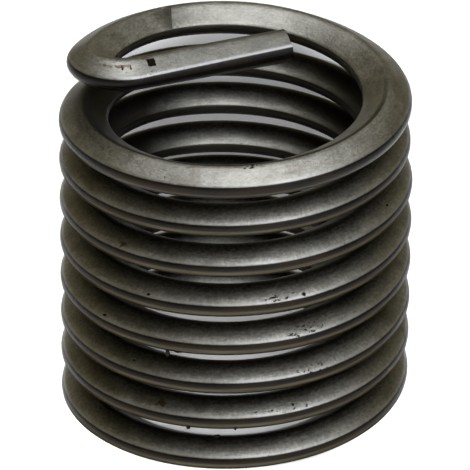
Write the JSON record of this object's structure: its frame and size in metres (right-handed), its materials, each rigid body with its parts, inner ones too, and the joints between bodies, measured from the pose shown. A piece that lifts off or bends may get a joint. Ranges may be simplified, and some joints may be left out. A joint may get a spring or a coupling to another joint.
{
  "type": "helical thread insert",
  "caption": "Wire thread insert: a right-hand coil of diamond-section steel wire with a driving tang bent across its upper end.",
  "frame": {"origin": "on the coil's axis, at the level of the lowest point of the plain end it stands on", "axes": "+Z along the coil's axis, from the plain end up to the tang; the picture's camera looks along +Y and down"},
  "size_m": [0.0122, 0.0122, 0.0137],
  "materials": {
    "insert_wire": "dull rolled steel wire, dark grey with a slight olive-brown tint"
  },
  "bodies": {
    "root": {"insert_wire": "insert_wire"}
  },
  "joints": []
}
